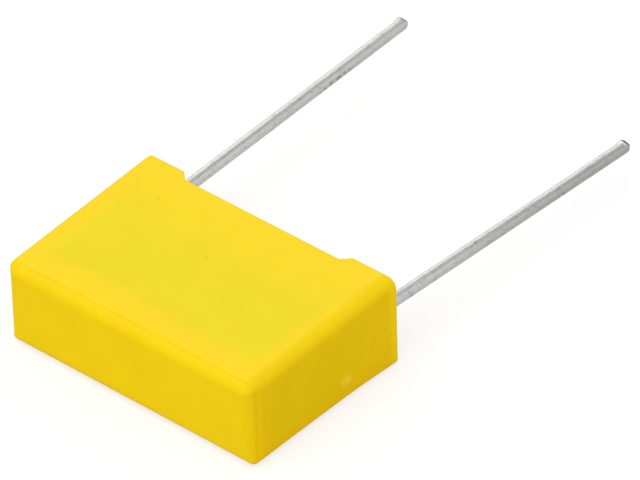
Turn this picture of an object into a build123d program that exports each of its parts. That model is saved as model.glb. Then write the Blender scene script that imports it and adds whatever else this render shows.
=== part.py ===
"""Film safety capacitor in a resin-filled plastic box, lying on one broad side.

The moulded box is open on its lead side, with a foot at each end of its rim.  It
holds a flat-pressed roll of film.  A layer of sprayed metal covers each end of the
roll, a tinned wire is welded to each layer, and resin fills the rest of the box.

The functions below work in the box's own frame: X along the row of wires, Y from
the closed top (Y < 0) to the tips of the feet (Y = 0), and Z across the box.  The
last step lays the finished pieces on the lower broad face, with +Z up.
"""

import os
from math import cos, radians, tan

from build123d import *

# ---- Wires (millimetres and degrees) ----
LEAD_PITCH = 15.0            # hole to hole on the circuit board
LEAD_DIAMETER = 0.8
LEAD_LENGTH = 21.0           # beyond the feet
LEAD_LAP = 6.0               # laid against the end of the winding
LEAD_BEND_HEIGHT = 0.3       # where the free length starts to splay, past the feet
LEAD_BEND_RADIUS = 12.0
LEAD_TIP_RADIUS = 0.1        # edge of the cropped tip
WELD_SINK = 0.1              # how far the wire is sunk into the sprayed metal

# Handling bent each wire a little: how far its root lies above the middle of the
# box, and the angles by which its free length spreads outwards and dips.
LEFT_LEAD_LIFT = 0.22
LEFT_LEAD_SPREAD_ANGLE = 1.24
LEFT_LEAD_DIP_ANGLE = 0.67
RIGHT_LEAD_LIFT = -0.10
RIGHT_LEAD_SPREAD_ANGLE = 2.13
RIGHT_LEAD_DIP_ANGLE = 2.48

# ---- Box ----
CASE_THICKNESS = 5.9         # across the broad faces, at the feet
CASE_HEIGHT = 12.0           # closed top to the tips of the feet
CASE_DRAFT_ANGLE = 0.75      # on every side, outside and inside
END_WALL = 0.8
BROAD_WALL = 0.7
TOP_WALL = 0.9
EDGE_RADIUS = 0.65           # the four edges that run along Y
TOP_RADIUS = 0.65            # round the closed top, no more than EDGE_RADIUS
CAVITY_RADIUS = 0.4          # every inside edge
CAP_INSET = 0.03             # shallow step that the mould's top insert left
CAP_HEIGHT = 0.6             # from the closed top to that step
LEAD_WALL_GAP = 0.3          # resin between a wire and the end wall

# ---- Feet ----
FOOT_HEIGHT = 0.52           # the rim is cut back this far between the feet
LEFT_FOOT_LENGTH = 2.72      # along X, at the tip
RIGHT_FOOT_LENGTH = 3.07
FOOT_FLANK_ANGLE = 45.0
FOOT_EDGE_RADIUS = 0.15

# ---- Winding ----
WINDING_SIDE_GAP = 0.25      # resin between the winding and the broad walls
WINDING_TOP_GAP = 0.45       # resin between the winding and the closed top
WINDING_COVER = 1.0          # resin over the winding on the lead side
SLIT_WIDTH = 3.6             # the bore of the roll, pressed flat
SLIT_GAP = 0.12
SPRAY_THICKNESS = 0.4

# ---- Resin surface ----
RESIN_RECESS = 0.36          # below the cut-back rim
CLIMB_HEIGHT = 0.2           # how far the resin climbs the walls
CLIMB_RADIUS = 0.3           # the hollow curve of that climb
CLIMB_LIP = 0.05             # resin left at the top of a climb
COLLAR_HEIGHT = 0.3          # how far it climbs the wires

# ---- Sizes that follow ----
LEAD_RADIUS = LEAD_DIAMETER / 2
CASE_LENGTH = LEAD_PITCH + LEAD_DIAMETER + 2 * (LEAD_WALL_GAP + END_WALL)
CAVITY_LENGTH = CASE_LENGTH - 2 * END_WALL
CAVITY_THICKNESS = CASE_THICKNESS - 2 * BROAD_WALL
CAVITY_DEPTH = CASE_HEIGHT - TOP_WALL
CAVITY_TAPER = CAVITY_DEPTH * tan(radians(CASE_DRAFT_ANGLE))

RESIN_LEVEL = -FOOT_HEIGHT - RESIN_RECESS
WINDING_NEAR = RESIN_LEVEL - WINDING_COVER
WINDING_FAR = WINDING_TOP_GAP - CAVITY_DEPTH
WINDING_HEIGHT = WINDING_NEAR - WINDING_FAR
WINDING_MIDDLE = (WINDING_NEAR + WINDING_FAR) / 2
WINDING_THICKNESS = CAVITY_THICKNESS - 2 * (CAVITY_TAPER + WINDING_SIDE_GAP)
SPRAY_FACE = LEAD_PITCH / 2 - LEAD_RADIUS + WELD_SINK
WINDING_LENGTH = 2 * (SPRAY_FACE - SPRAY_THICKNESS)


def drafted_block(length, thickness, depth):
    """Block from Y = 0 to Y = -depth, with the moulding draft on its four sides."""
    block = Box(length, depth, thickness, align=(Align.CENTER, Align.MAX, Align.CENTER))
    sides = block.faces().filter_by(Axis.Y, reverse=True)
    return draft(sides, Plane.XZ, CASE_DRAFT_ANGLE)


def long_edges(block):
    """The edges of a drafted block that run from its rim to its closed end."""
    return block.edges().filter_by(lambda edge: abs(edge.tangent_at(0.5).Y) > 0.9)


def end_edges(block):
    """The edges round the closed end of a drafted block."""
    return block.faces().sort_by(Axis.Y)[0].edges()


def rounded_block(length, thickness, depth, edge_radius, end_radius):
    """Drafted block with its long edges rounded, then its closed end by no more than that."""
    block = fillet(long_edges(drafted_block(length, thickness, depth)), edge_radius)
    return fillet(end_edges(block), min(end_radius, edge_radius))


def case_outside():
    """Outer form: a rounded cap that is set in from the sides by a shallow step."""
    cap = rounded_block(
        CASE_LENGTH - 2 * CAP_INSET,
        CASE_THICKNESS - 2 * CAP_INSET,
        CASE_HEIGHT,
        EDGE_RADIUS,
        TOP_RADIUS,
    )
    sides = drafted_block(CASE_LENGTH, CASE_THICKNESS, CASE_HEIGHT - CAP_HEIGHT)
    return cap + fillet(long_edges(sides), EDGE_RADIUS)


def rim_notch():
    """What is cut from the rim, right across the box, to leave a foot at each end."""
    left_tip = LEFT_FOOT_LENGTH - CASE_LENGTH / 2
    right_tip = CASE_LENGTH / 2 - RIGHT_FOOT_LENGTH
    flank_run = FOOT_HEIGHT * tan(radians(FOOT_FLANK_ANGLE))
    profile = Polygon(
        (left_tip, 0),
        (left_tip + flank_run, -FOOT_HEIGHT),
        (right_tip - flank_run, -FOOT_HEIGHT),
        (right_tip, 0),
        align=None,
    )
    return extrude(profile, CASE_THICKNESS, both=True)


def foot_edges(block):
    """The edges at the roots and the tips of the feet's flanks."""
    left_limit = (LEFT_FOOT_LENGTH - CASE_LENGTH) / 2
    right_limit = (CASE_LENGTH - RIGHT_FOOT_LENGTH) / 2
    across = block.edges().filter_by(Axis.Z)
    return across.filter_by(lambda edge: left_limit < edge.center().X < right_limit)


def cavity():
    """Inside of the box, from its floor to the tips of the feet."""
    return rounded_block(
        CAVITY_LENGTH, CAVITY_THICKNESS, CAVITY_DEPTH, CAVITY_RADIUS, CAVITY_RADIUS
    )


def case():
    """Moulded box, open on the lead side, with its two feet."""
    notched = case_outside() - rim_notch()
    return fillet(foot_edges(notched), FOOT_EDGE_RADIUS) - cavity()


def roll(length):
    """Flat-pressed roll, centred between the wires, with its axis along X."""
    section = Plane.YZ * Pos(WINDING_MIDDLE, 0) * SlotOverall(WINDING_HEIGHT, WINDING_THICKNESS)
    return extrude(section, length / 2, both=True)


def film_winding():
    """Metallised film, wound and pressed flat round the slit that its mandrel left."""
    slit = Pos(0, WINDING_MIDDLE, 0) * Box(WINDING_LENGTH, SLIT_WIDTH, SLIT_GAP)
    return roll(WINDING_LENGTH) - slit


def end_spray(side, wire):
    """Sprayed metal over one end of the roll, with the groove that the wire is sunk in."""
    outer_half = Pos(side * SPRAY_FACE, 0, 0) * Box(
        2 * SPRAY_THICKNESS, 2 * CASE_HEIGHT, 2 * CASE_THICKNESS
    )
    return (roll(2 * SPRAY_FACE) & outer_half) - wire


def lead(side, lift, spread, dip):
    """Wire that laps one end of the roll, leaves through the resin and splays."""
    root = Vector(side * LEAD_PITCH / 2, WINDING_NEAR - LEAD_LAP, lift)
    bend = Vector(root.X, LEAD_BEND_HEIGHT, lift)
    direction = Vector(side * tan(radians(spread)), 1, -tan(radians(dip)))
    tip = bend + direction * (LEAD_LENGTH - LEAD_BEND_HEIGHT)
    route = FilletPolyline(root, bend, tip, radius=LEAD_BEND_RADIUS)
    section = Plane(origin=root, z_dir=(0, 1, 0)) * Circle(LEAD_RADIUS)
    wire = sweep(section, path=route)
    return fillet(wire.faces().sort_by(Axis.Y)[-1].edges(), LEAD_TIP_RADIUS)


def resin_tray():
    """Air over the resin; its round foot leaves the hollow curve along the walls."""
    return rounded_block(
        CAVITY_LENGTH - 2 * CLIMB_LIP,
        CAVITY_THICKNESS - 2 * CLIMB_LIP,
        -RESIN_LEVEL,
        CAVITY_RADIUS - CLIMB_LIP,
        CLIMB_RADIUS,
    )


def collar(side, lift):
    """Resin that climbs one wire: a disc whose shoulder is hollowed by a torus."""
    foot_radius = LEAD_RADIUS + CLIMB_LIP + COLLAR_HEIGHT
    disc = Cylinder(
        foot_radius, COLLAR_HEIGHT, align=(Align.CENTER, Align.CENTER, Align.MIN)
    )
    hollow = Pos(0, 0, COLLAR_HEIGHT) * Torus(foot_radius, COLLAR_HEIGHT)
    along_wire = Plane(origin=(side * LEAD_PITCH / 2, RESIN_LEVEL, lift), z_dir=(0, 1, 0))
    return along_wire * (disc - hollow)


def potting_resin(wires, collars):
    """Resin round the winding, filled to just below the cut-back rim."""
    room = cavity()
    above = Pos(0, RESIN_LEVEL + CLIMB_HEIGHT, 0) * Box(
        CASE_LENGTH,
        CASE_HEIGHT,
        CASE_THICKNESS,
        align=(Align.CENTER, Align.MIN, Align.CENTER),
    )
    resin = room - above - resin_tray()
    for ring in collars:
        resin += ring & room
    resin -= roll(2 * SPRAY_FACE)
    for wire in wires:
        resin -= wire
    return resin


def lying():
    """Turn about X that sets the lower broad face on Z = 0, origin under mid-height."""
    lift = CASE_THICKNESS / 2 * cos(radians(CASE_DRAFT_ANGLE))
    return Pos(0, CASE_HEIGHT / 2, lift) * Rot(X=CASE_DRAFT_ANGLE)


lead_left = lead(-1, LEFT_LEAD_LIFT, LEFT_LEAD_SPREAD_ANGLE, LEFT_LEAD_DIP_ANGLE)
lead_right = lead(1, RIGHT_LEAD_LIFT, RIGHT_LEAD_SPREAD_ANGLE, RIGHT_LEAD_DIP_ANGLE)
collars = [collar(-1, LEFT_LEAD_LIFT), collar(1, RIGHT_LEAD_LIFT)]

pieces = {
    "case": case(),
    "potting_resin": potting_resin([lead_left, lead_right], collars),
    "film_winding": film_winding(),
    "end_spray_left": end_spray(-1, lead_left),
    "end_spray_right": end_spray(1, lead_right),
    "lead_left": lead_left,
    "lead_right": lead_right,
}

os.makedirs("parts", exist_ok=True)
for name, piece in pieces.items():
    placed = lying() * piece
    placed.label = name
    export_step(placed, f"parts/{name}.step")
    print(f"{name}: {placed.volume:.3f} mm3")
print(f"box {CASE_LENGTH:.2f} x {CASE_HEIGHT:.2f} x {CASE_THICKNESS:.2f} mm, pitch {LEAD_PITCH} mm")
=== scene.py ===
# %% [markdown]
# # A film safety capacitor, dressed and lit
#
# The part is a yellow moulded box, 18 x 12 x 6 mm, that lies on one broad side.
# Two tinned wires come out of the resin that fills it.  The measured solids come
# from the CAD model.  This lesson puts the real surfaces on them: the moulding
# with its rounded edges, the drawn wires with their nicks and cropped tips, and
# the resin with its bubbles.
#
# Everything is in metres, in the frame of the CAD model: +X runs along the row
# of wires, +Y points the way that the wires leave, and +Z is up.

# %% Load the CAD model
import math
import random
from functools import partial, reduce

import bmesh
import bpy
import numpy as np
from mathutils import Matrix, Vector


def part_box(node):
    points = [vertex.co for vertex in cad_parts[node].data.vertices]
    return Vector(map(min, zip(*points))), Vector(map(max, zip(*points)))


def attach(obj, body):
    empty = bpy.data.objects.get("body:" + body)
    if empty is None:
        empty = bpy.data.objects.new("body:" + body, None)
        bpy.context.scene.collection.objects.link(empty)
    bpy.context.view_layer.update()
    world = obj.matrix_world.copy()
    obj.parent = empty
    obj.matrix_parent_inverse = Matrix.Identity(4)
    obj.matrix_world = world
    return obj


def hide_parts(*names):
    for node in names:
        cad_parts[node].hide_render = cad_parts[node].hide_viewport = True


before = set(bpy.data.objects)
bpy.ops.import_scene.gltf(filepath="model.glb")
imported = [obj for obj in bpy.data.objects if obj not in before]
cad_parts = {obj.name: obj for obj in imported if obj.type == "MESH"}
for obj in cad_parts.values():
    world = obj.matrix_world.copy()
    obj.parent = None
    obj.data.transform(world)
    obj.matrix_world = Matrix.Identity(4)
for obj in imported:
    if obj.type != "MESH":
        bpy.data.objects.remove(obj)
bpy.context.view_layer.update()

MM = 0.001
print("nodes:", ", ".join(sorted(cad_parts)))

# %% [markdown]
# ## The camera
#
# A part this small is best seen from far away through a long lens, so that its
# parallel edges stay nearly parallel.  A camera could be aimed with a Track To
# constraint.  Three angles are used instead, because they are easier to picture:
# how far round the part, how high above it, and how much the horizon leans.

# %% Camera
CAMERA_AZIMUTH = 40.847262
CAMERA_ELEVATION = 38.281437
CAMERA_LEAN = -0.995635
CAMERA_PLACE = Vector((224.40765, -249.44708, 272.43909)) * MM
LENS = 443.5995
SENSOR_WIDTH = 36.0


def put_in_scene(name, data):
    """New object with this data, linked into the scene."""
    thing = bpy.data.objects.new(name, data)
    bpy.context.scene.collection.objects.link(thing)
    return thing


camera_data = bpy.data.cameras.new("camera")
camera_data.lens = LENS
camera_data.sensor_width = SENSOR_WIDTH
camera_data.clip_start = 0.01
camera_data.clip_end = 10.0
camera = put_in_scene("camera", camera_data)
turn = Matrix.Rotation(math.radians(CAMERA_AZIMUTH), 4, "Z")
tilt = Matrix.Rotation(math.radians(90.0 - CAMERA_ELEVATION), 4, "X")
lean = Matrix.Rotation(math.radians(CAMERA_LEAN), 4, "Z")
camera.matrix_world = Matrix.Translation(CAMERA_PLACE) @ turn @ tilt @ lean
bpy.context.scene.camera = camera
print("camera is", round(CAMERA_PLACE.length, 3), "m from the part")

# %% [markdown]
# ## Helpers for node trees
#
# Materials, the world and Geometry Nodes are all trees of nodes.  Wiring them by
# hand takes three lines a node, so `add` makes one node, sets what it is told and
# links every input that is given another node's output.  Most of a pattern is
# arithmetic, so `calc` and `vector` do that for a sum.  An output knows the tree that
# it belongs to, so only a node that starts a branch has to be told its tree.

# %% Node helpers
def is_output(value):
    """True for a node's output, False for a plain number, vector or colour."""
    return isinstance(value, bpy.types.NodeSocket)


def plug(node, inputs):
    """Give a node's inputs their values, or link them to other nodes' outputs."""
    for key, value in inputs.items():
        if is_output(value):
            node.id_data.links.new(value, node.inputs[key])
        else:
            node.inputs[key].default_value = value


def add(tree, kind, inputs=None, **settings):
    """One new node.  inputs: socket name or number -> value, or another node's output."""
    node = tree.nodes.new(kind)
    for name, value in settings.items():
        setattr(node, name, value)
    plug(node, inputs or {})
    return node


def work_out(kind, *values, **settings):
    """Outputs of a new node that takes these values in order; one or more are outputs themselves."""
    tree = next(filter(is_output, values)).id_data
    return add(tree, "ShaderNode" + kind, dict(enumerate(values)), **settings).outputs


def calc(operation, *values):
    """A sum with one, two or three numbers."""
    return work_out("Math", *values, operation=operation)[0]


def vector(operation, *values):
    """A sum with one or two vectors."""
    outputs = work_out("VectorMath", *values, operation=operation)
    return outputs["Value" if operation in ("LENGTH", "DISTANCE") else "Vector"]


def sloped(value, slope, start):
    """value * slope + start."""
    return calc("MULTIPLY_ADD", value, slope, start)


def between(operation):
    """Function that puts this operation between all the numbers that it is given."""
    return lambda *values: reduce(partial(calc, operation), values)


plus, minus, times, ratio, highest = map(between, ("ADD", "SUBTRACT", "MULTIPLY", "DIVIDE", "MAXIMUM"))


def ramp(value, start, end, low=0.0, high=1.0):
    """Smooth step: low before start, high after end."""
    return work_out("MapRange", value, start, end, low, high, interpolation_type="SMOOTHSTEP")[0]


def fall(value, start, end):
    """Smooth step down: 1 before start, 0 after end."""
    return ramp(value, start, end, 1.0, 0.0)


def xyz(arrow):
    """The three numbers of a vector."""
    return list(work_out("SeparateXYZ", arrow))


def combine(x, y, z):
    """A vector from three numbers."""
    return work_out("CombineXYZ", x, y, z)[0]


def scaled(arrow, factor):
    """A vector, or a colour, times a number."""
    inputs = {0: arrow, "Scale": factor}
    return add(arrow.id_data, "ShaderNodeVectorMath", inputs, operation="SCALE").outputs[0]


def grey(level):
    """Grey that gives back this share of the light."""
    return (level, level, level, 1.0)


def linear(*levels):
    """Red, green and blue written as on a screen, 0 to 255, turned into the light they stand for."""
    shares = [level / 255.0 for level in levels]
    lights = [s / 12.92 if s <= 0.04045 else ((s + 0.055) / 1.055) ** 2.4 for s in shares]
    return (*lights, 1.0)


print("mid grey is", round(linear(128, 128, 128)[0], 3), "as light")

# %% [markdown]
# ## White studio
#
# The part lies in a white tent: light from all round, a little more of it from
# the front and above, a little less on the right.  An even world gives the first,
# and one very wide sun lamp gives the second.  A sun is used rather than an area
# lamp, because its light doesn't fall off across the floor.
#
# Bright metal shows the tent itself.  Its left wall is white, its right wall a
# little grey, and the darker seam between them makes the long grey band on a wire.
# Only glossy rays see that difference, so the plastic is lit evenly.
#
# The backdrop is plain white to the camera.  That is done with Light Path in the
# world and the floor, so that no extra light falls on the part, and the floor still
# shows its soft shadow.

# %% World
TENT_LEVEL = 0.70
TENT_LEVEL_RIGHT = 0.56
TENT_SIDES = (-0.9, 0.9)
GLOSS_LEVEL = 1.02
GLOSS_LEVEL_SEAM = 0.56
GLOSS_LEVEL_RIGHT = 0.72
SEAM_BEGINS = (-0.60, -0.15)
SEAM_ENDS = (0.25, 0.55)


def emptied(owner):
    """The node tree of a world or a material, with nothing in it."""
    owner.use_nodes = True
    owner.node_tree.nodes.clear()
    return owner.node_tree


def seen_directly(path):
    """1 for a ray from the camera, also where it came through something clear."""
    return highest(path["Is Camera Ray"], path["Is Transmission Ray"])


world = bpy.data.worlds.new("tent")
bpy.context.scene.world = world
tent = emptied(world)
rightness = xyz(add(tent, "ShaderNodeTexCoord").outputs["Generated"])[0]
path = add(tent, "ShaderNodeLightPath").outputs
wall_level = ramp(rightness, *TENT_SIDES, TENT_LEVEL, TENT_LEVEL_RIGHT)
left_wall = ramp(rightness, *SEAM_BEGINS, GLOSS_LEVEL, GLOSS_LEVEL_SEAM)
right_wall = ramp(rightness, *SEAM_ENDS, 0.0, GLOSS_LEVEL_RIGHT - GLOSS_LEVEL_SEAM)
in_gloss = plus(left_wall, right_wall)
lit = add(tent, "ShaderNodeMix", {0: path["Is Glossy Ray"], "A": wall_level, "B": in_gloss}).outputs[0]
level = add(tent, "ShaderNodeMix", {0: seen_directly(path), "A": lit, "B": 1.0}).outputs[0]
light = add(tent, "ShaderNodeBackground", {"Color": grey(1.0), "Strength": level})
add(tent, "ShaderNodeOutputWorld", {"Surface": light.outputs[0]})
print("tent light from", TENT_LEVEL, "down to", TENT_LEVEL_RIGHT, "on the right")

# %% Sun
SUN_LEVEL = 0.42
SUN_WIDTH = 70.0
SUN_DIRECTION = Vector((0.04, -0.40, 0.915))

sun_data = bpy.data.lights.new("soft_sun", "SUN")
sun_data.energy = SUN_LEVEL * math.pi
sun_data.angle = math.radians(SUN_WIDTH)
sun = put_in_scene("soft_sun", sun_data)
sun.rotation_euler = SUN_DIRECTION.to_track_quat("Z", "Y").to_euler()
print("sun stands", round(math.degrees(math.asin(SUN_DIRECTION.normalized().z))), "deg high")

# %% Floor
FLOOR_HALF = 1.5
FLOOR_GAP = 0.02 * MM
FLOOR_WHITE = 0.80
FLOOR_SHADE = 0.35
FLOOR_GLOW = 0.68
FLOOR_GLOW_IN_GLOSS = 0.28
CORNERS = ((-1, -1), (1, -1), (1, 1), (-1, 1))

floor_mesh = bpy.data.meshes.new("floor")
corners = [(x * FLOOR_HALF, y * FLOOR_HALF, -FLOOR_GAP) for x, y in CORNERS]
floor_mesh.from_pydata(corners, [], [(0, 1, 2, 3)])
floor = put_in_scene("floor", floor_mesh)

paper = bpy.data.materials.new("white_paper")
sheet = emptied(paper)
path = add(sheet, "ShaderNodeLightPath").outputs
plain = add(sheet, "ShaderNodeBsdfDiffuse", {"Color": grey(FLOOR_WHITE)})
shaded = add(sheet, "ShaderNodeBsdfDiffuse", {"Color": grey(FLOOR_SHADE)})
strength = ramp(path["Is Glossy Ray"], 0.0, 1.0, FLOOR_GLOW, FLOOR_GLOW_IN_GLOSS)
glow = add(sheet, "ShaderNodeEmission", {"Color": grey(1.0), "Strength": strength})
backdrop = add(sheet, "ShaderNodeAddShader", {0: shaded.outputs[0], 1: glow.outputs[0]})
seen = highest(seen_directly(path), path["Is Glossy Ray"])
mixed = add(sheet, "ShaderNodeMixShader", {0: seen, 1: plain.outputs[0], 2: backdrop.outputs[0]})
add(sheet, "ShaderNodeOutputMaterial", {"Surface": mixed.outputs[0]})
floor.data.materials.append(paper)

bpy.context.scene.view_settings.view_transform = "Standard"
print("floor lies", FLOOR_GAP / MM, "mm under the part")

# %% [markdown]
# ## Sizes of the moulded box
#
# The box is drafted by 0.75 degrees so that it leaves its mould, and it lies on
# one drafted side.  It is easiest to think of it standing up, in its own frame:
# X along the row of wires, Y from the closed top (-12) to the feet (0), and Z across.
# `laid_down` then turns and lifts those points into the place of the CAD solid.
# All sizes are in millimetres.

# %% Box sizes and its own frame
CASE_LENGTH = 18.0
CASE_THICKNESS = 5.9
CASE_HEIGHT = 12.0
DRAFT = math.radians(0.75)
EDGE_RADIUS = 0.6
LOWER_EDGE_RADIUS = 0.54
LOWER_RIM_RADIUS = 0.36
SHARPENING = 3.0
TOP_RADIUS = 0.76
CAP_INSET = 0.03
WALL_END = -11.12
LIP_RADIUS = 0.36
LIP_TURN = math.radians(38)
SEAM_Y = -11.43
SEAM_DEPTH = 0.1
SEAM_HALF = 0.02
SEAM_FLARE = 0.004
CAP_START = -11.52
CORNER_EASING = 0.6
END_BOW = 0.06
BOW_START = 7.0
END_WALL = 0.8
BROAD_WALL = 0.7
TOP_WALL = 0.9
CAVITY_RADIUS = 0.4
FOOT_HEIGHT = 0.52
LEFT_FOOT_LENGTH = 2.76
RIGHT_FOOT_LENGTH = 3.07
FOOT_EDGE_RADIUS = 0.15
FOOT_FLANK = math.radians(45)
RIM_EDGE = 0.04
LEAD_PITCH = 15.0
LEAD_RADIUS = 0.4
RESIN_LEVEL = -0.88

case_low, case_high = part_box("case")
lay_turn = Matrix.Rotation(DRAFT, 4, "X")
lay_lift = Matrix.Translation((0, CASE_HEIGHT / 2, CASE_THICKNESS / 2 * math.cos(DRAFT)))
laid = lay_lift @ lay_turn


def laid_down(points):
    """Points of the box's own frame, in mm, as places in the scene, in metres."""
    turned = np.asarray(points, float) @ np.array(laid.to_3x3()).T
    return (turned + np.array(laid.translation)) * MM


print("CAD case is", [round(v, 3) for v in (case_high - case_low) / MM], "mm")

# %% [markdown]
# ## The moulded box as a mesh
#
# The real box is one injection moulding: thin walls, every outside edge rounded,
# and a foot at each end of the open rim.  Half a millimetre from the closed top runs
# a seam, where two parts of the mould met: the wall rounds off into it like a lip,
# and the rounded cap starts just behind it.  The mould closed best at its corners,
# so the seam is shallow there.  The resin shrinks as it cures, and has drawn the
# right end wall in by a few hundredths of a millimetre.
#
# It could be a cube with a Bevel modifier and a Solidify modifier, but then the
# draft, the step and the two radii would all be guesses of the modifiers.  Here it
# is lofted from rings instead.  A ring is a rounded rectangle, and each of its
# points is a point on an inner core plus the corner radius times an outward
# direction.  So one formula gives every ring, and the draft, the rounding and the
# walls only change the three numbers that it takes.

# %% One ring of the box
ARC_STEPS = 9
WIDE_PITCH = 0.2
FLANK_PITCH = 0.03
FLANK_MARGIN = 0.08
GATE_Y = -4.21
GATE_Z = -1.47
GATE_HALF = 0.55
GATE_PITCH = 0.05
half_length = CASE_LENGTH / 2
half_thick = CASE_THICKNESS / 2
CORE_X = half_length - EDGE_RADIUS
CORE_Z = half_thick - EDGE_RADIUS
LEFT_FLANK = half_length - LEFT_FOOT_LENGTH
RIGHT_FLANK = half_length - RIGHT_FOOT_LENGTH


def spaced(start, end, pitch):
    """Evenly spaced numbers from start up to, but not at, end."""
    count = max(1, round((end - start) / pitch))
    return [start + (end - start) * i / count for i in range(count)]


def along_side(start, end, fine_from, fine_to, pitch):
    """Places from start to end, closer together between fine_from and fine_to."""
    places = spaced(start, fine_from, WIDE_PITCH) + spaced(fine_from, fine_to, pitch)
    return places + spaced(fine_to, end, WIDE_PITCH) + [end]


def half_side(flank):
    """Places along half of a long side, closer together where a foot begins."""
    return along_side(0, CORE_X, flank - FOOT_HEIGHT - FLANK_MARGIN, flank + FLANK_MARGIN, FLANK_PITCH)


long_side = [-x for x in reversed(half_side(LEFT_FLANK)[1:])] + half_side(RIGHT_FLANK)
short_side = along_side(-CORE_Z, CORE_Z, GATE_Z - GATE_HALF, GATE_Z + GATE_HALF, GATE_PITCH)
arc = [math.radians(90.0 * i / ARC_STEPS) for i in range(1, ARC_STEPS)]

ring = [(x, CORE_Z, 0.0, 1.0) for x in long_side]
ring += [(CORE_X, CORE_Z, math.sin(a), math.cos(a)) for a in arc]
ring += [(CORE_X, z, 1.0, 0.0) for z in reversed(short_side)]
ring += [(CORE_X, -CORE_Z, math.cos(a), -math.sin(a)) for a in arc]
ring += [(x, -CORE_Z, 0.0, -1.0) for x in reversed(long_side)]
ring += [(-CORE_X, -CORE_Z, -math.sin(a), -math.cos(a)) for a in arc]
ring += [(-CORE_X, z, -1.0, 0.0) for z in short_side]
ring += [(-CORE_X, CORE_Z, -math.cos(a), math.sin(a)) for a in arc]
ring = np.array(ring)
print(len(ring), "points round the box")

# %% Ring and rim formulas
UNSQUEEZED = 7.0


def ring_at(y, half_x, half_z, radius, evenly=1.0):
    """Ring points for a half length, a half thickness and a corner radius (numbers or arrays).

    A shorter ring is squeezed evenly (1), or only near its ends (0), so that a foot
    keeps its length.
    """
    side = np.abs(ring[:, 0])
    reach = half_x - radius
    near_end = UNSQUEEZED + (side - UNSQUEEZED) * (reach - UNSQUEEZED) / (CORE_X - UNSQUEEZED)
    kept = np.where(side < UNSQUEEZED, side, near_end)
    core_x = np.sign(ring[:, 0]) * (evenly * (side * reach / CORE_X) + (1.0 - evenly) * kept)
    x = core_x + ring[:, 2] * radius
    z = ring[:, 1] * (half_z - radius) / CORE_Z + ring[:, 3] * radius
    return np.stack([x, np.broadcast_to(y, x.shape), z], axis=1)


def rim_height(x):
    """Height of the rim: 0 on the feet, cut back between them, with rounded flanks."""
    r = FOOT_EDGE_RADIUS
    run = r * math.tan(FOOT_FLANK / 2)
    bend = r * math.sin(FOOT_FLANK)
    u = np.abs(x)
    flank = np.where(x < 0, LEFT_FLANK, RIGHT_FLANK)
    low_end = flank - FOOT_HEIGHT - run
    high_end = flank + run
    y = np.clip(u - flank, -FOOT_HEIGHT, 0.0)
    root = r - np.sqrt(np.clip(r**2 - (u - low_end) ** 2, 0, None))
    tip = r - np.sqrt(np.clip(r**2 - (u - high_end) ** 2, 0, None))
    y = np.where((u > low_end) & (u < low_end + bend), -FOOT_HEIGHT + root, y)
    return np.where((u < high_end) & (u > high_end - bend), -tip, y)


print("rim from", rim_height(np.array([0.0]))[0], "to", rim_height(np.array([8.0]))[0], "mm")

# %% Outside rings, from the rim to the closed top
WALL_ROWS = 58
LIP_ROWS = 6
CAP_ROWS = 10
ROW_CLEARANCE = 0.01
RADIUS_LOSS = 0.8
LEAST_RADIUS = 0.05
BEVEL_TURNS = [math.radians(degrees) for degrees in (90.0, 60.0, 30.0)]
slope = math.tan(DRAFT)


def edge_radius(y):
    """Radius of the long outside edges: the two lower ones get sharper towards the rim."""
    near_rim = np.clip((y + SHARPENING) / SHARPENING, 0.0, 1.0)
    lower = LOWER_EDGE_RADIUS + (LOWER_RIM_RADIUS - LOWER_EDGE_RADIUS) * near_rim
    return np.where(ring[:, 3] < 0, lower, EDGE_RADIUS)


def inset_ring(y, inset, radius, evenly=1.0):
    """Ring that stands this far inside the box's greatest length and thickness."""
    return ring_at(y, half_length - inset, half_thick - inset, radius, evenly)


def stepped_back(y, depth, easing):
    """Ring at height y that stands back from the drafted wall by depth, less so at its corners."""
    corner = 2.0 * np.abs(ring[:, 2] * ring[:, 3])
    radius = np.maximum(edge_radius(y) - RADIUS_LOSS * depth, LEAST_RADIUS)
    return inset_ring(y, depth * (1.0 - easing * corner) - y * slope, radius)


rim = rim_height(inset_ring(0.0, 0.0, EDGE_RADIUS, 0.0)[:, 0])
rim_edge = []
for a in BEVEL_TURNS:
    rim_edge.append((rim - RIM_EDGE * (1.0 - math.sin(a)), RIM_EDGE * (1.0 - math.cos(a))))
outside = [inset_ring(y, r - y * slope, edge_radius(y) - r, 0.0) for y, r in rim_edge]

gate_count = round(2 * GATE_HALF / GATE_PITCH) + 1
gate_places = [GATE_Y + GATE_HALF - GATE_PITCH * i for i in range(gate_count)]
gate_rows = [(y + RIM_EDGE) / (WALL_END + RIM_EDGE) for y in gate_places]
rows = [row / WALL_ROWS for row in range(WALL_ROWS + 1)]
gate_from, gate_to = gate_rows[0] - ROW_CLEARANCE, gate_rows[-1] + ROW_CLEARANCE
rows = sorted([t for t in rows if not gate_from < t < gate_to] + gate_rows)
for t in rows:
    y = (rim - RIM_EDGE) * (1.0 - t) + WALL_END * t
    outside.append(inset_ring(y, -y * slope, edge_radius(y), t))

for i in range(1, LIP_ROWS + 1):
    a = LIP_TURN * i / LIP_ROWS
    depth = LIP_RADIUS * (1.0 - math.cos(a))
    outside.append(stepped_back(WALL_END - LIP_RADIUS * math.sin(a), depth, CORNER_EASING))
outside.append(stepped_back(SEAM_Y + SEAM_HALF, SEAM_DEPTH - SEAM_FLARE, CORNER_EASING))
outside.append(stepped_back(SEAM_Y - SEAM_HALF, SEAM_DEPTH, CORNER_EASING))

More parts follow.
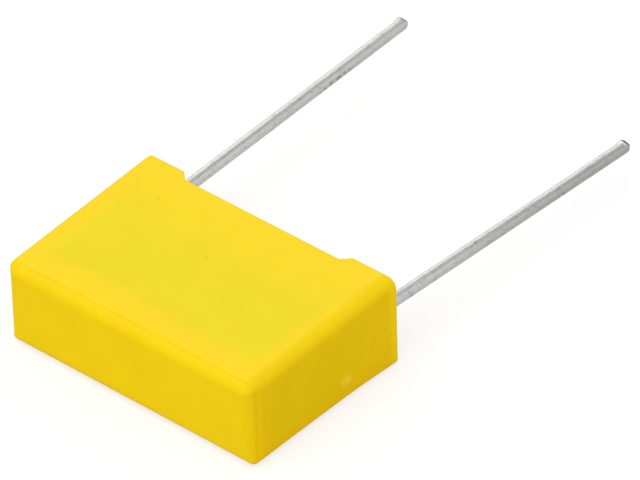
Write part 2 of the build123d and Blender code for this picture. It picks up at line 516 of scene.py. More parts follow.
round_start = TOP_RADIUS - CASE_HEIGHT
first_turn = math.asin((round_start - CAP_START) / TOP_RADIUS)
for i in range(CAP_ROWS + 1):
    a = first_turn + (math.pi / 2 - first_turn) * i / CAP_ROWS
    depth = CAP_INSET + TOP_RADIUS * (1.0 - math.cos(a))
    easing = CORNER_EASING * (1.0 - i / CAP_ROWS) ** 2
    outside.append(stepped_back(round_start - TOP_RADIUS * math.sin(a), depth, easing))
print(len(outside), "rings on the outside")

# %% Inside rings, from the rim to the floor of the cavity
INNER_ROWS = 12
FLOOR_ARC_ROWS = 4
LEAST_FLOOR_RADIUS = 0.03
cavity_x = half_length - END_WALL
cavity_z = half_thick - BROAD_WALL
wall_foot = TOP_WALL - CASE_HEIGHT + CAVITY_RADIUS

inside = []
for y, rounding in rim_edge:
    outset = rounding + y * slope
    inside.append(ring_at(y, cavity_x + outset, cavity_z + outset, CAVITY_RADIUS, 0.0))
for i in range(INNER_ROWS + 1):
    t = i / INNER_ROWS
    y = (rim - RIM_EDGE) * (1.0 - t) + wall_foot * t
    inside.append(ring_at(y, cavity_x + y * slope, cavity_z + y * slope, CAVITY_RADIUS, t))
for i in range(1, FLOOR_ARC_ROWS + 1):
    a = math.radians(90.0 * i / FLOOR_ARC_ROWS)
    y = wall_foot - CAVITY_RADIUS * math.sin(a)
    inset = CAVITY_RADIUS * (1.0 - math.cos(a)) - wall_foot * slope
    radius = max(CAVITY_RADIUS * math.cos(a), LEAST_FLOOR_RADIUS)
    inside.append(ring_at(y, cavity_x - inset, cavity_z - inset, radius))
print(len(inside), "rings on the inside")

# %% [markdown]
# ### Closing the ends
#
# Both ends of the loft are flat faces.  A single many-sided face would shade badly,
# so the last ring is drawn in towards a line along the middle, ring by ring, and
# the points that meet on that line are merged.

# %% Close the ends and join everything
FILL_ROWS = 12
FLOOR_FILL_ROWS = 5
FILL_RADIUS = 0.03


def filled(last, count):
    """Rings that draw a flat end in to a line along its middle."""
    half_x, half_z = np.abs(last[:, 0]).max(), np.abs(last[:, 2]).max()
    rings = []
    for i in range(1, count + 1):
        inset = half_z * i / count
        radius = FILL_RADIUS * (1.0 - i / count)
        rings.append(ring_at(last[0, 1], half_x - inset, half_z - inset, radius))
    return rings


closed_floor = filled(inside[-1], FLOOR_FILL_ROWS)
closed_top = filled(outside[-1], FILL_ROWS)
all_rings = closed_floor[::-1] + inside[::-1] + outside + closed_top
box_points = np.concatenate(all_rings)
from_middle = (box_points[:, 1] + CASE_HEIGHT / 2) / (CASE_HEIGHT / 2)
on_right_end = np.clip((box_points[:, 0] - BOW_START) / (half_length - BOW_START), 0, 1) ** 2
box_points[:, 0] -= END_BOW * on_right_end * (1.0 - from_middle**2)

count = len(ring)
box_faces = []
for start in range(0, (len(all_rings) - 1) * count, count):
    for i in range(count):
        j = (i + 1) % count
        box_faces.append((start + i, start + count + i, start + count + j, start + j))
print(len(box_faces), "faces in the loft")

# %% [markdown]
# ### The gate mark
#
# Plastic enters the mould through a small gate.  When the part is broken off its
# runner, a rough, slightly paler spot is left.  Here it is real relief: the points
# of the end wall near the gate are pushed out by up to a few hundredths of a
# millimetre, each by its own random amount.  The seed is fixed, so that every run
# gives the same spot.

# %% Gate mark
GATE_REACH = 0.42
GATE_SQUASH = 0.85
GATE_HEIGHT = 0.03
GATE_LEAST_SHARE = 0.15
GATE_SEED = 5
END_WALL_FROM = 8.7


def raise_gate_mark(points):
    """Push out the points of the right end wall that lie on the gate mark."""
    dice = random.Random(GATE_SEED)
    moved = 0
    for point in points:
        distance = math.hypot((point[1] - GATE_Y) * GATE_SQUASH, point[2] - GATE_Z)
        if point[0] >= END_WALL_FROM and distance < GATE_REACH:
            fade = 1.0 - (distance / GATE_REACH) ** 2
            point[0] += GATE_HEIGHT * fade * dice.uniform(GATE_LEAST_SHARE, 1.0)
            moved += 1
    return moved


print(raise_gate_mark(box_points), "points raised on the gate mark")

# %% Make the box object
MERGE = 1e-7
SHARP_TURN = math.radians(40.0)


def make_piece(name, points, faces):
    """New object with merged points, outward faces and smooth shading, except at sharp edges."""
    mesh = bpy.data.meshes.new(name)
    mesh.from_pydata([tuple(p) for p in points], [], faces)
    shell = bmesh.new()
    shell.from_mesh(mesh)
    bmesh.ops.remove_doubles(shell, verts=shell.verts, dist=MERGE)
    bmesh.ops.dissolve_degenerate(shell, edges=shell.edges, dist=MERGE)
    bmesh.ops.recalc_face_normals(shell, faces=shell.faces)
    open_edges = sum(1 for edge in shell.edges if not edge.is_manifold)
    shell.to_mesh(mesh)
    shell.free()
    mesh.shade_smooth()
    mesh.set_sharp_from_angle(angle=SHARP_TURN)
    print(name, len(mesh.polygons), "faces,", open_edges, "open edges")
    return put_in_scene(name, mesh)


moulded_box = make_piece("moulded_box", laid_down(box_points), box_faces)

# %% [markdown]
# ## Yellow plastic
#
# The moulding is a satin plastic, coloured right through.  Its walls are less than
# a millimetre thick and let a little light in.  Where the dark winding lies close
# behind the wall, some of the red is lost and the yellow looks cooler.  Over the
# resin, near the edges, it looks warmer.  So the colour follows the place on the
# box, and the pattern is made from Object coordinates, turned into the box's own
# frame by a Mapping node.  The squares of the normal add up to one, so they say how
# much of each face's own pattern a point takes, also on the rounded edges.  The faces
# are lit and shaded copies of the yellow.  The broad faces carry a painted sheen in
# their blue.  The ends, the closed top and the cap get a deeper yellow as painted
# shade, and so does the right long edge where it turns away from the light.

# %% Helpers for materials
def new_material(name):
    """Empty material with its shader and its output."""
    material = bpy.data.materials.new(name)
    tree = emptied(material)
    shader = add(tree, "ShaderNodeBsdfPrincipled")
    add(tree, "ShaderNodeOutputMaterial", {"Surface": shader.outputs[0]})
    return material, tree, shader


def box_place(tree):
    """Place in the box's own frame, in mm."""
    inputs = {
        "Vector": add(tree, "ShaderNodeTexCoord").outputs["Object"],
        "Location": laid.translation * MM,
        "Rotation": (DRAFT, 0, 0),
        "Scale": (MM, MM, MM),
    }
    return add(tree, "ShaderNodeMapping", inputs, vector_type="TEXTURE").outputs[0]


def stretched(place, factors):
    """Place with each of its axes multiplied by its own factor."""
    return add(place.id_data, "ShaderNodeMapping", {"Vector": place, "Scale": factors}).outputs[0]


def blend(share, first, second):
    """Colour between two colours (or outputs)."""
    inputs = {0: share, 6: first, 7: second}
    return add(share.id_data, "ShaderNodeMix", inputs, data_type="RGBA").outputs[2]


MIDDLE = (0.3, 0.7)


def noise(place, scale, detail=2.0, rough=0.5):
    """Noise between 0 and 1, most of it in the MIDDLE."""
    inputs = {"Vector": place, "Scale": scale, "Detail": detail, "Roughness": rough}
    return add(place.id_data, "ShaderNodeTexNoise", inputs).outputs["Fac"]


def spot(place, centre, start, end):
    """1 inside a ball round centre, fading to 0."""
    return fall(vector("DISTANCE", place, centre), start, end)


def relief(height, strength, depth):
    """Normal that fine relief would give; depth in mm."""
    inputs = {"Height": height, "Strength": strength, "Distance": depth * MM}
    return add(height.id_data, "ShaderNodeBump", inputs).outputs[0]


# %% Colours of the plastic, and where in the box's own frame they change
# Lit and shaded copies of the yellow: the broad colours hold a painted sheen in their blue, and the end,
# top, cap and edge colours are deeper, as painted shade.
BROAD_WARM_WITH_SHEEN = linear(253, 218, 46)
BROAD_COOL_WITH_SHEEN = linear(240, 218, 46)
TOP_SHADED_YELLOW = linear(249, 213, 14)
CAP_SHADED_YELLOW = linear(250, 214, 30)
EDGE_SHADED_YELLOW = linear(245, 210, 24)
END_WARM_SHADED = linear(252, 207, 0)
END_COOL_SHADED = linear(245, 207, 0)
END_RIM = linear(255, 217, 8)
WINDING_SIDE_X = (6.6, 8.3)
WINDING_TOP_Y = (-11.0, -8.8)
WINDING_FOOT_Y = (-6.0, -0.9)
CAP_Y = (SEAM_Y - 0.02, SEAM_Y + 0.22)
END_TOP_Y = (-11.8, -9.8)
END_FOOT_Y = (-3.2, -0.8)
END_EDGE_Z = (1.4, 2.6)
END_RIM_Y = (-0.75, -0.35)
EDGE_SHADE_X = (7.85, 8.4)
EDGE_SHADE_SHARE = (0.0, 0.45)
TOP_SHADE_SHARE = (0.38, 0.9)

yellow_plastic, tree, plastic = new_material("yellow_plastic")
place = box_place(tree)
x, y, z = xyz(place)
normal = add(tree, "ShaderNodeTexCoord").outputs["Normal"]
share_x, share_y, share_z = [times(part, part) for part in xyz(normal)]
over_resin = highest(ramp(calc("ABSOLUTE", x), *WINDING_SIDE_X), fall(y, *WINDING_TOP_Y))
over_resin = highest(over_resin, ramp(y, *WINDING_FOOT_Y))
broad = blend(over_resin, BROAD_COOL_WITH_SHEEN, BROAD_WARM_WITH_SHEEN)
# Painted shade on the cap and on the lip of the seam, which would otherwise catch too much of the sun.
broad = blend(fall(y, *CAP_Y), broad, CAP_SHADED_YELLOW)
end_edge = highest(fall(y, *END_TOP_Y), ramp(y, *END_FOOT_Y), ramp(calc("ABSOLUTE", z), *END_EDGE_Z))
# Painted shade: the end faces take deeper copies of the yellow.
ends = blend(end_edge, END_COOL_SHADED, END_WARM_SHADED)
ends = blend(ramp(y, *END_RIM_Y), ends, END_RIM)
colour = blend(share_x, broad, ends)
# Painted shade along the right long edge, where it turns away from the light.
edge_shade = times(ramp(x, *EDGE_SHADE_X), ramp(share_z, *EDGE_SHADE_SHARE))
colour = blend(edge_shade, colour, EDGE_SHADED_YELLOW)
# Painted shade: faces turned like the closed top take the deeper top yellow, without the painted sheen.
colour = blend(ramp(share_y, *TOP_SHADE_SHARE), colour, TOP_SHADED_YELLOW)
print("colour nodes:", len(tree.nodes))

# %% Specks, gate mark and grain of the plastic
SPECKS = [(-5.82, -2.65, 2.92), (-0.44, -4.89, 2.89), (8.98, -1.07, 0.16)]
SPECK_FADE = (0.025, 0.08)
SPECK_DARKENING = 0.35
CLOUD_SCALE = 0.45
CLOUD_LEVELS = (0.985, 1.01)
GATE_PALE = linear(254, 230, 62)
GATE_FADE = (0.16, 0.56)
TORN = (0.35, 0.6)
TORN_SHARE = (0.9, 0.2)
SATIN_ROUGHNESS = (0.44, 0.52)
SATIN_GLOSS = 0.025

shade = ramp(noise(place, CLOUD_SCALE), *MIDDLE, *CLOUD_LEVELS)
for speck in SPECKS:
    shade = times(shade, sloped(spot(place, speck, *SPECK_FADE), -SPECK_DARKENING, 1.0))
gate = spot(place, (half_length, GATE_Y, GATE_Z), *GATE_FADE)
torn = ramp(noise(place, 5.0, detail=3.0), *TORN)
colour = blend(times(gate, sloped(torn, *TORN_SHARE)), colour, GATE_PALE)
grain = noise(place, 14.0, detail=3.0, rough=0.6)
rough = ramp(grain, *MIDDLE, *SATIN_ROUGHNESS)
plug(plastic, {"Base Color": scaled(colour, shade), "Specular IOR Level": SATIN_GLOSS})
plug(plastic, {"Roughness": rough, "Normal": relief(grain, strength=0.12, depth=0.01)})

moulded_box.data.materials.append(yellow_plastic)
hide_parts("case")
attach(moulded_box, "root")
print("plastic nodes:", len(tree.nodes))

# %% [markdown]
# ## Drawn and tinned wires
#
# Each lead is copper wire that was pulled through a die, dipped in tin and cropped.
# A wire follows a path, so it is a job for Geometry Nodes: three points make a path,
# Fillet Curve rounds its one bend, and Curve to Mesh pulls a circle along it.  The
# rings stand closer together at the cropped end, where they shrink over its rounded
# rim.  The tree then sinks the surface along fine lines, as the die left them, and
# adds nicks.  One darker line is also painted along each wire at a set angle round
# it, and fades along its length.
#
# The cutter's two jaws closed on the end.  They pinched the last millimetre, which
# bulges to one side, and left two bevels that meet in a ridge across the end.  The
# rim is darker there, partly bare metal and partly painted shade for the dark
# reflection along its edge, and a painted highlight runs just behind it.
#
# The fine lines have to follow the wire, not the world.  So the tree keeps, for
# every point, its place on a straight wire of the same length, in an attribute
# called wire_place, and both the relief and the metal's pattern read that.

# %% Geometry Nodes helpers
def new_tree(name, kinds):
    """Geometry Nodes tree with named inputs.  Returns the tree, its inputs and their identifiers."""
    tree = bpy.data.node_groups.new(name, "GeometryNodeTree")
    tree.interface.new_socket(name="Geometry", in_out="OUTPUT", socket_type="NodeSocketGeometry")
    names = {}
    for kind, labels in kinds.items():
        for label in labels:
            socket = tree.interface.new_socket(label, in_out="INPUT", socket_type="NodeSocket" + kind)
            names[label] = socket.identifier
    return tree, tree.nodes.new("NodeGroupInput").outputs, names


def begin(tree, kind, inputs=None, **settings):
    """First output of a new node of Geometry Nodes."""
    return add(tree, "GeometryNode" + kind, inputs, **settings).outputs[0]


def then(geometry, kind, inputs=None, **settings):
    """The same for a node that takes a shape and changes or measures it."""
    return begin(geometry.id_data, kind, {0: geometry, **(inputs or {})}, **settings)


def finish_tree(geometry, material):
    """Realize the instances, set the material and send the result out."""
    painted = then(then(geometry, "RealizeInstances"), "SetMaterial", {"Material": material})
    add(painted.id_data, "NodeGroupOutput", {0: painted})


def grow(name, tree, names, values):
    """Run a tree on an empty mesh with these input values, and keep the result as a plain mesh."""
    empty = bpy.data.meshes.new(name + "_start")
    piece = put_in_scene(name, empty)
    modifier = piece.modifiers.new("nodes", "NODES")
    modifier.node_group = tree
    for label, value in values.items():
        modifier[names[label]] = value
    depsgraph = bpy.context.evaluated_depsgraph_get()
    grown = bpy.data.meshes.new_from_object(piece.evaluated_get(depsgraph), depsgraph=depsgraph)
    piece.modifiers.remove(modifier)
    piece.data = grown
    grown.name = name
    bpy.data.meshes.remove(empty)
    print(name, len(grown.polygons), "faces")
    return piece


def keep(geometry, value, kind):
    """Keep a value on the points, for use after the shape has changed."""
    node = add(geometry.id_data, "GeometryNodeCaptureAttribute", {"Geometry": geometry})
    node.capture_items.new(kind, "kept")
    plug(node, {"kept": value})
    return node.outputs["Geometry"], node.outputs["kept"]


def note(geometry, name, value, kind="FLOAT"):
    """Write a value on the points as a named attribute, which a material can read."""
    inputs = {"Name": name, "Value": value}
    return then(geometry, "StoreNamedAttribute", inputs, data_type=kind, domain="POINT")


print("helpers for Geometry Nodes are ready")

# %% Path of a wire: a ring's place for each point
RIM_STEPS = 9
BEND_STEPS = 12
NICK_NAMES = [f"Nick {i}" for i in range(1, 7)]
WIRE_INPUTS = {
    "Vector": ["Root", "Bend", "Tip", "Dark Line", *NICK_NAMES],
    "Float": ["Bend Radius", "Wire Radius", "Rim Radius", "Ring Spacing", "Streak Depth"]
    + ["Nick Depth", "Pinch Depth", "Bevel", "Bare Shaded Rim", "Painted Highlight"]
    + ["Dullness", "Side Shade", "Seed"],
}

wire_tree, wire_in, wire_names = new_tree("drawn_wire", WIRE_INPUTS)
number = begin(wire_tree, "InputIndex")
three = begin(wire_tree, "MeshLine", {"Count": 3})
corner = add(wire_tree, "GeometryNodeIndexSwitch", data_type="VECTOR")
corner.index_switch_items.new()
plug(corner, {"Index": number, 1: wire_in["Root"], 2: wire_in["Bend"], 3: wire_in["Tip"]})
placed = then(three, "SetPosition", {"Position": corner.outputs[0]})
route = then(placed, "MeshToCurve")
bent = then(route, "FilletCurve", {"Radius": wire_in["Bend Radius"], "Count": BEND_STEPS}, mode="POLY")

total = then(bent, "CurveLength")
straight = minus(total, wire_in["Rim Radius"])
ring_count = calc("ROUND", ratio(straight, wire_in["Ring Spacing"]))
rings = begin(wire_tree, "MeshLine", {"Count": plus(ring_count, RIM_STEPS + 1)})
even = ratio(calc("MINIMUM", number, ring_count), ring_count)
over = highest(minus(number, ring_count), 0.0)
rim_turn = times(over, math.pi / 2 / RIM_STEPS)
along = sloped(even, straight, times(calc("SINE", rim_turn), wire_in["Rim Radius"]))
sample = add(wire_tree, "GeometryNodeSampleCurve", {0: bent, "Length": along}, mode="LENGTH").outputs
lined = then(rings, "SetPosition", {"Position": sample["Position"]})
print("path nodes:", len(wire_tree.nodes))

# %% Round surface of the wire, and its own straight coordinates
ROUND_STEPS = 36

shrink = minus(1.0, calc("COSINE", rim_turn))
ring_radius = minus(wire_in["Wire Radius"], times(shrink, wire_in["Rim Radius"]))
position = begin(wire_tree, "InputPosition")
line, kept_along = keep(lined, along, "FLOAT")
line, kept_radius = keep(line, ring_radius, "FLOAT")
line, kept_axis = keep(line, position, "VECTOR")
line, kept_run = keep(line, sample["Tangent"], "VECTOR")
circle = begin(wire_tree, "CurvePrimitiveCircle", {"Resolution": ROUND_STEPS, "Radius": 1.0})
pulled = then(then(line, "MeshToCurve"), "CurveToMesh", {"Profile Curve": circle, "Fill Caps": True})
outward = vector("NORMALIZE", vector("SUBTRACT", position, kept_axis))
on_wire = vector("ADD", kept_axis, scaled(outward, kept_radius))
sized = then(pulled, "SetPosition", {"Position": on_wire})
side_x, _, side_z = xyz(outward)
straight_place = combine(times(side_x, kept_radius), times(side_z, kept_radius), kept_along)
marked = note(sized, "wire_place", straight_place, "FLOAT_VECTOR")
print("surface nodes:", len(wire_tree.nodes))

# %% Die lines and nicks
DIE_LINES = (9.0, 9.0, 0.35)
SCRATCH_SIZE = (1.6, 3.2)
SCRATCH_CHOICE = (0.55, 0.65)
SCRATCH_FADE = (0.03, 0.14)
SCRATCH_STRENGTH = 0.5
NICK_FADE = (0.35, 1.0)
SEED_STEP = 17.3
NICK_STRETCH = (1.0, 1.0, 0.45)
NICK_RAGGED = 1.6
WINDING_COVER = 1.0
LEAD_LAP = 6.0
FEET_ALONG = LEAD_LAP + WINDING_COVER - RESIN_LEVEL

place_mm = scaled(straight_place, 1.0 / MM)
x_mm, y_mm, along_mm = xyz(place_mm)
shifted = plus(along_mm, times(wire_in["Seed"], SEED_STEP))
fine_place = vector("MULTIPLY", combine(x_mm, y_mm, shifted), DIE_LINES)
die_depth = times(noise(fine_place, 1.0, detail=3.0, rough=0.6), wire_in["Streak Depth"])

across, length = SCRATCH_SIZE
scratch_place = combine(times(x_mm, across), times(y_mm, across), ratio(shifted, length))
cells = add(wire_tree, "ShaderNodeTexVoronoi", {"Vector": scratch_place, "Scale": 1.0}).outputs
chosen = ramp(xyz(cells["Color"])[0], *SCRATCH_CHOICE)
worn = times(chosen, fall(cells["Distance"], *SCRATCH_FADE), SCRATCH_STRENGTH)

uneven = sloped(noise(place_mm, 7.0, rough=0.6), NICK_RAGGED, -NICK_RAGGED / 2)
for label in NICK_NAMES:
    nick_turn, nick_along, nick_size = xyz(wire_in[label])
    nick_turn = calc("RADIANS", nick_turn)
    nick_x = times(calc("COSINE", nick_turn), LEAD_RADIUS)
    nick_y = times(calc("SINE", nick_turn), LEAD_RADIUS)
    away = vector("SUBTRACT", place_mm, combine(nick_x, nick_y, nick_along))
    away = vector("LENGTH", vector("MULTIPLY", away, NICK_STRETCH))
    worn = highest(worn, fall(plus(ratio(away, nick_size), uneven), *NICK_FADE))
nick_depth = times(worn, wire_in["Nick Depth"])
print("nodes with the nicks:", len(wire_tree.nodes))

# %% Pinched and bevelled end
PINCH_FADE = (0.12, 1.0)
JAW_TURN = math.radians(50)
BEVEL_LENGTH = 0.7
BEVEL_SHARPNESS = 0.75
RIDGE_TURN = math.radians(30)

from_tip = minus(ratio(total, MM), along_mm)
near_tip = fall(from_tip, *PINCH_FADE)
turn = calc("ARCTAN2", side_z, side_x)
flattened = calc("COSINE", sloped(turn, 2.0, -2.0 * JAW_TURN))
pushed = calc("SINE", minus(turn, JAW_TURN))
pinch = times(times(near_tip, near_tip), minus(flattened, pushed), wire_in["Pinch Depth"])
sink = plus(die_depth, nick_depth, pinch)

off_ridge = calc("ABSOLUTE", calc("SINE", minus(turn, RIDGE_TURN)))
off_ridge = times(calc("POWER", off_ridge, BEVEL_SHARPNESS), kept_radius)
off_ridge = ratio(off_ridge, wire_in["Wire Radius"])
cut_back = times(off_ridge, fall(from_tip, 0.0, BEVEL_LENGTH), wire_in["Bevel"])
moved = vector("ADD", scaled(outward, times(sink, -1.0)), scaled(kept_run, times(cut_back, -1.0)))
sunk = then(marked, "SetPosition", {"Offset": moved})
print("nodes with the end:", len(wire_tree.nodes))

# %% What the metal has to know: bare rim with painted shade, painted highlight, painted side shade and the dark line
FACING_TURN = math.radians(97)
BARE_SHADE_WIDTH = (-0.3, 0.85)
BARE_SHADE_FADE = (0.75, 1.0)
BARE_SHADE_FACING = (0.15, 0.80)
HIGHLIGHT_FACING = (0.62, 0.85)
HIGHLIGHT_BEHIND = 0.10
HIGHLIGHT_FADE = (0.08, 0.16)
SIDE_SHADE_FACING = (0.2, 0.5)
SIDE_SHADE_ALONG = (-2.0, 20.0)
DARK_LINE_FADE = (0.08, 0.30)

# Bare cut metal at the rim, with painted shade for the dark reflection along the edge of the cut.
rim_mm = ratio(wire_in["Rim Radius"], MM)
bare_shade_width = times(rim_mm, sloped(side_x, *BARE_SHADE_WIDTH))
bare_shade_width = plus(bare_shade_width, ratio(wire_in["Bare Shaded Rim"], MM))
facing = calc("COSINE", minus(turn, FACING_TURN))
bare_and_shaded = times(fall(ratio(from_tip, bare_shade_width), *BARE_SHADE_FADE), ramp(facing, *BARE_SHADE_FACING))
# Painted highlight: a bright crescent just behind the rim, where the surface faces up.
behind_rim = minus(from_tip, plus(bare_shade_width, HIGHLIGHT_BEHIND))
painted_highlight = times(fall(calc("ABSOLUTE", behind_rim), *HIGHLIGHT_FADE), ramp(facing, *HIGHLIGHT_FACING))
painted_highlight = times(painted_highlight, wire_in["Painted Highlight"])
beyond_feet = minus(along_mm, FEET_ALONG)
# Painted shade: a darker, greenish reflection on the right side of the wire, growing along it.
side_shaded = times(ramp(side_x, *SIDE_SHADE_FACING), wire_in["Side Shade"], ramp(beyond_feet, *SIDE_SHADE_ALONG))
# One darker line at a set angle round the wire, fading along its length.
line_turn, line_strength, line_length = xyz(wire_in["Dark Line"])
off_line = calc("ABSOLUTE", minus(turn, calc("RADIANS", line_turn)))
fading = ramp(beyond_feet, 0.0, line_length, line_strength, 0.0)
dark_line = times(fall(off_line, *DARK_LINE_FADE), fading)
notes = {"wear_and_nick_shade": worn, "bare_and_shaded": bare_and_shaded, "painted_highlight": painted_highlight, "dark_line": dark_line}
notes |= {"dullness": wire_in["Dullness"], "tarnish": side_shaded}
noted = sunk
for name, value in notes.items():
    noted = note(noted, name, value)
smooth = then(noted, "SetShadeSmooth", {"Shade Smooth": True})
print("wire nodes:", len(wire_tree.nodes))

# %% [markdown]
# ### Tin
#
# Dip tinning leaves a bright, slightly dull metal.  The die lines show in it as
# lighter and darker streaks, and handling has rubbed it a little greyer in patches.
# One side carries painted shade, a darker greenish reflection, and the nicks are
# darkened by wear and painted shade.  It is a metal all through, so Metallic is 1, and
# its own colour is what it reflects.  The roughness changes from streak to streak,
# which is what makes drawn wire look drawn.

# %% Tinned metal
TIN_BRIGHT = linear(236, 235, 235)
TIN_GREYED = linear(238, 237, 231)
TIN_LINE = linear(202, 202, 198)
TIN_DARK_LINE = linear(160, 158, 150)
TIN_WORN_AND_SHADED = linear(120, 118, 114)
TIN_BARE_SHADED = linear(84, 82, 78)
TIN_PAINTED_HIGHLIGHT = linear(255, 255, 255)
TIN_SIDE_SHADE = linear(62, 66, 50)
STREAK_SCALE = (14.0, 14.0, 0.4)
RUB_SCALE = (9.0, 9.0, 3.0)
RUBS = (0.5, 0.3, 0.95)
STREAKS = (0.44, 0.30, 0.55)
PATCHES = (0.5, 0.75, 0.25)
WEAR_AND_SHADE_SHARE = 0.6
BARE_SHADE_HIDDEN = 0.6
ROUGH_STREAKS = (0.25, 0.75)
ROUGH_WEAR = 0.2
ROUGH_DULL = 0.1
RUB_HEIGHT = 1.5
TIN_ROUGHNESS = (0.16, 0.26)


def noted_value(tree, name, output="Fac"):
    """An attribute that the Geometry Nodes tree wrote on the points."""
    node = add(tree, "ShaderNodeAttribute", attribute_name=name, attribute_type="GEOMETRY")
    return node.outputs[output]


tinned_metal, tree, tin = new_material("tinned_metal")
wear_and_nick_shade, bare_and_shaded, painted_highlight, dark_line, dull, tarnish = [noted_value(tree, name) for name in notes]
place = stretched(noted_value(tree, "wire_place", "Vector"), (1 / MM, 1 / MM, 1 / MM))
streaks = noise(stretched(place, STREAK_SCALE), 1.0, detail=4.0, rough=0.6)
mottle = noise(stretched(place, RUB_SCALE), 1.0, detail=3.0, rough=0.7)
patches = noise(place, 1.1)
colour = blend(dull, TIN_BRIGHT, TIN_GREYED)
for pattern, start, end, strength in ((mottle, *RUBS), (streaks, *STREAKS), (patches, *PATCHES)):
    colour = blend(ramp(pattern, start, end, 0.0, strength), colour, TIN_LINE)
# The darker line along the wire.
colour = blend(dark_line, colour, TIN_DARK_LINE)
# Wear and painted shade: the nicks and scratches are painted darker, as worn metal and as the shade that
# lies in them.
colour = blend(times(wear_and_nick_shade, WEAR_AND_SHADE_SHARE), colour, TIN_WORN_AND_SHADED)
# Painted shade: the darker, greenish reflection on one side.
colour = blend(tarnish, colour, TIN_SIDE_SHADE)
# Painted highlight just behind the cut rim.
colour = blend(painted_highlight, colour, TIN_PAINTED_HIGHLIGHT)
# Bare rim: bare metal, and painted shade for the dark reflection at its edge.
colour = blend(times(bare_and_shaded, sloped(dull, -BARE_SHADE_HIDDEN, 1.0)), colour, TIN_BARE_SHADED)
rough = ramp(streaks, *ROUGH_STREAKS, *TIN_ROUGHNESS)
rough = sloped(wear_and_nick_shade, ROUGH_WEAR, sloped(dull, ROUGH_DULL, rough))
rubs = sloped(mottle, RUB_HEIGHT, streaks)
plug(tin, {"Base Color": colour, "Metallic": 1.0})
plug(tin, {"Roughness": rough, "Normal": relief(rubs, strength=0.5, depth=0.006)})
finish_tree(smooth, tinned_metal)
print("tin nodes:", len(tree.nodes))

# %% [markdown]
# ### The two wires
#
# Both wires leave the box 15 mm apart.  Handling bent each of them a little, so
# each has its own spread and dip.  The three points of a path are given in the
# box's own frame, then laid down with it.  A nick is its angle round the wire in
# degrees, its distance beyond the feet and its size.  The dark line is its angle,
# its strength and the length over which it fades.

# %% Left and right wire
LEAD_LENGTH = 21.0
LEAD_BEND_HEIGHT = 0.3
RELIEF_ROOM = 0.02
BOTH_WIRES = {
    "Bend Radius": 12.0 * MM,
    "Wire Radius": (LEAD_RADIUS - RELIEF_ROOM) * MM,
    "Ring Spacing": 0.045 * MM,
    "Streak Depth": 0.018 * MM,
    "Nick Depth": 0.03 * MM,
    "Pinch Depth": 0.03 * MM,
}
EACH_WIRE = {
    "Rim Radius": (0.1 * MM, 0.17 * MM),
    "Bevel": (0.16 * MM, 0.12 * MM),
    "Bare Shaded Rim": (0.15 * MM, 0.11 * MM),
    "Painted Highlight": (0.0, 1.0),
    "Dark Line": ((66, 0.30, 34.0), (85, 0.25, 14.0)),
    "Dullness": (1.0, 0.0),
    "Side Shade": (0.12, 0.34),
    "Seed": (9.0, 10.0),
}
LEFT_NICKS = [(-14, 12.95, 0.08), (-10, 13.35, 0.09), (4, 13.86, 0.12)]
LEFT_NICKS += [(3, 14.6, 0.13), (4, 15.15, 0.11), (3, 15.55, 0.08)]
RIGHT_NICKS = [(-10, 2.5, 0.1), (25, 2.4, 0.06), (-14, 4.4, 0.08)]
RIGHT_NICKS += [(74, 8.1, 0.07), (-6, 11.6, 0.05), (-4, 15.2, 0.09)]
LEFT, RIGHT = 0, 1


def wire_path(side, lift, spread, dip):
    """Root, bend and tip of one wire, laid down; spread and dip in degrees."""
    x = side * LEAD_PITCH / 2
    root = (x, RESIN_LEVEL - WINDING_COVER - LEAD_LAP, lift)
    reach = LEAD_LENGTH - LEAD_BEND_HEIGHT
    tip_x = x + side * math.tan(math.radians(spread)) * reach
    tip_z = lift - math.tan(math.radians(dip)) * reach
    points = laid_down([root, (x, LEAD_BEND_HEIGHT, lift), (tip_x, LEAD_LENGTH, tip_z)])
    return dict(zip(("Root", "Bend", "Tip"), map(tuple, points)))


def make_wire(node, path, column, nicks):
    """One wire in place of its CAD node, with its own column of the table."""
    looks = {label: pair[column] for label, pair in EACH_WIRE.items()}
    placed_nicks = [(angle, FEET_ALONG + beyond, size) for angle, beyond, size in nicks]
    values = {**BOTH_WIRES, **path, **looks, **dict(zip(NICK_NAMES, placed_nicks))}
    wire = grow("tinned_" + node, wire_tree, wire_names, values)
    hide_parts(node)
    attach(wire, "root")
    ends = np.array([v.co[:] for v in wire.data.vertices]) / MM
    print(node, "reaches", ends.min(axis=0).round(3), ends.max(axis=0).round(3))


make_wire("lead_left", wire_path(-1, lift=0.232, spread=1.24, dip=0.67), LEFT, LEFT_NICKS)
make_wire("lead_right", wire_path(1, lift=-0.09, spread=2.13, dip=2.48), RIGHT, RIGHT_NICKS)

# %% [markdown]
# ## Potting resin
#
# After the winding is in the box, resin is poured over it and cured.  It wets the
# walls and the wires, so it climbs them a little, and the CAD solid already has
# that hollow curve.  It is an epoxy with a mineral filler: honey-coloured, cloudy,
# with fine grains, and glossier in the middle than along the walls.  The solid
# keeps its mesh and only gets a material, made from Object coordinates.

# %% Resin
RESIN_HONEY = linear(222, 186, 110)
RESIN_PALE = linear(227, 195, 122)
RESIN_THIN = linear(212, 178, 96)
RESIN_GRAIN = linear(176, 144, 88)
WALL_CLIMB = (RESIN_LEVEL + 0.02, RESIN_LEVEL + 0.18)
WALL_ROUGHNESS = 0.15
RESIN_ROUGHNESS = (0.16, 0.3)
RESIN_CLOUDS = (0.35, 0.65)
RESIN_GRAINS = (0.62, 0.74)
GRAIN_SHARE = 0.5
GRAIN_HEIGHT = 0.12

